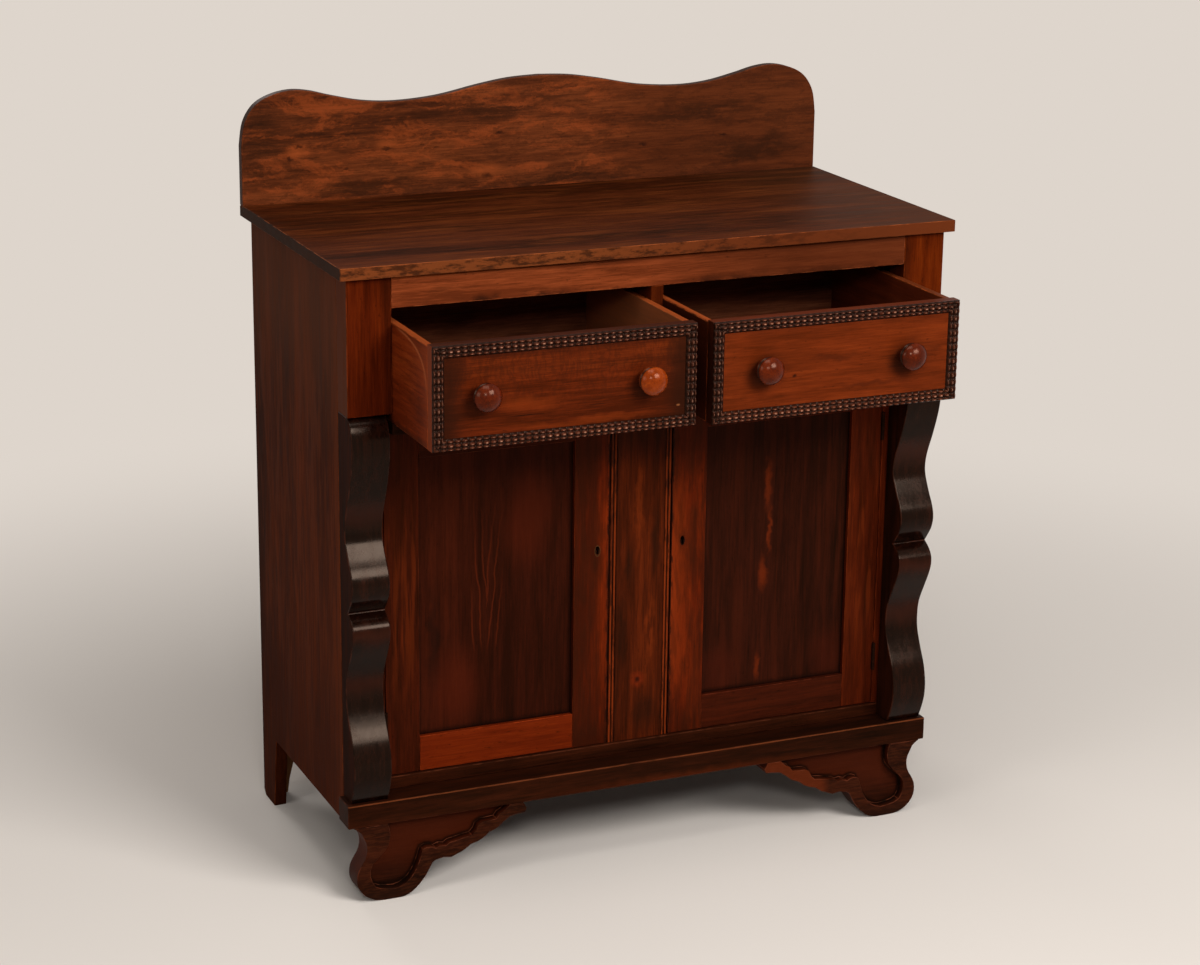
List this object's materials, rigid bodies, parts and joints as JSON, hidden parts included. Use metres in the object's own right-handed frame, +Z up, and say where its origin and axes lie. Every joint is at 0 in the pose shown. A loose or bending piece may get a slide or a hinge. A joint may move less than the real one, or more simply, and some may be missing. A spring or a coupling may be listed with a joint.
{
  "type": "jelly cupboard",
  "caption": "Wooden jelly cupboard with ripple-moulded drawers over panelled doors, S-scroll pilasters, bracket feet and a shaped backsplash, its drawers part open.",
  "frame": {"origin": "on the floor, midway across the cupboard and midway between the foremost knob and the back of the top, with the drawers standing open as they do at rest", "axes": "+X to the right as the cupboard is faced, +Y to its back, +Z up"},
  "size_m": [1.097, 0.754, 1.284],
  "materials": {
    "top_wood": "worn red-brown varnish, horizontal grain",
    "case_wood": "red-brown stained pine, satin varnish",
    "inside_wood": "bare aged wood",
    "scroll_wood": "dark mahogany veneer, glossy",
    "drawer_wood": "orange-brown stained wood, glossy varnish",
    "moulding_wood": "near-black brown, glossy",
    "knob_wood": "turned wood, glossy",
    "door_wood": "orange-brown stained wood, satin varnish",
    "panel_wood": "very dark red-brown figured wood, satin varnish",
    "hinge_iron": "dark aged iron",
    "lock_iron": "dark aged iron",
    "bolt_brass": "dull aged brass"
  },
  "bodies": {
    "case": {"top_board": "top_wood", "backsplash": "top_wood", "frieze_rail": "case_wood", "drawer_deck": "inside_wood", "drawer_partition": "case_wood", "centre_mullion": "case_wood", "bottom_board": "case_wood", "middle_shelf": "inside_wood", "back_board": "inside_wood", "base_board": "case_wood", "left_side_board": "case_wood", "left_drawer_post": "case_wood", "left_drawer_guide": "inside_wood", "left_case_stile": "case_wood", "left_scroll": "scroll_wood", "left_front_foot": "case_wood", "left_case_lower_hinge_leaf": "hinge_iron", "left_case_upper_hinge_leaf": "hinge_iron", "right_side_board": "case_wood", "right_drawer_post": "case_wood", "right_drawer_guide": "inside_wood", "right_case_stile": "case_wood", "right_scroll": "scroll_wood", "right_front_foot": "case_wood", "right_case_lower_hinge_leaf": "hinge_iron", "right_case_upper_hinge_leaf": "hinge_iron"},
    "left_drawer": {"left_drawer_front": "drawer_wood", "left_drawer_left_side": "inside_wood", "left_drawer_right_side": "inside_wood", "left_drawer_back": "inside_wood", "left_drawer_bottom": "inside_wood", "left_drawer_ripple_frame": "moulding_wood", "left_drawer_left_knob": "knob_wood", "left_drawer_right_knob": "knob_wood"},
    "right_drawer": {"right_drawer_front": "drawer_wood", "right_drawer_left_side": "inside_wood", "right_drawer_right_side": "inside_wood", "right_drawer_back": "inside_wood", "right_drawer_bottom": "inside_wood", "right_drawer_ripple_frame": "moulding_wood", "right_drawer_left_knob": "knob_wood", "right_drawer_right_knob": "knob_wood"},
    "left_door": {"left_door_hinge_stile": "door_wood", "left_door_lock_stile": "door_wood", "left_door_top_rail": "door_wood", "left_door_bottom_rail": "door_wood", "left_door_panel": "panel_wood", "left_door_lock_case": "lock_iron", "left_door_lower_hinge_leaf": "hinge_iron", "left_door_upper_hinge_leaf": "hinge_iron"},
    "right_door": {"right_door_hinge_stile": "door_wood", "right_door_lock_stile": "door_wood", "right_door_top_rail": "door_wood", "right_door_bottom_rail": "door_wood", "right_door_panel": "panel_wood", "right_door_lock_case": "lock_iron", "right_door_lower_hinge_leaf": "hinge_iron", "right_door_upper_hinge_leaf": "hinge_iron"},
    "left_bolt": {"left_door_lock_bolt": "bolt_brass"},
    "right_bolt": {"right_door_lock_bolt": "bolt_brass"}
  },
  "joints": [
    {"name": "left_drawer_slide", "type": "slide", "parent": "case", "child": "left_drawer", "axis": [0, -1, 0], "range_m": [-0.18, 0.15]},
    {"name": "right_drawer_slide", "type": "slide", "parent": "case", "child": "right_drawer", "axis": [0, -1, 0], "range_m": [-0.189, 0.141]},
    {"name": "left_door_hinge", "type": "hinge", "parent": "case", "child": "left_door", "pos_m": [-0.45925, -0.1038, 0.504], "axis": [0, 0, -1], "range_deg": [0, 90]},
    {"name": "right_door_hinge", "type": "hinge", "parent": "case", "child": "right_door", "pos_m": [0.45925, -0.1038, 0.504], "axis": [0, 0, 1], "range_deg": [0, 90]},
    {"name": "left_bolt_slide", "type": "slide", "parent": "left_door", "child": "left_bolt", "axis": [1, 0, 0], "range_m": [0, 0.009]},
    {"name": "right_bolt_slide", "type": "slide", "parent": "right_door", "child": "right_bolt", "axis": [-1, 0, 0], "range_m": [0, 0.009]}
  ]
}
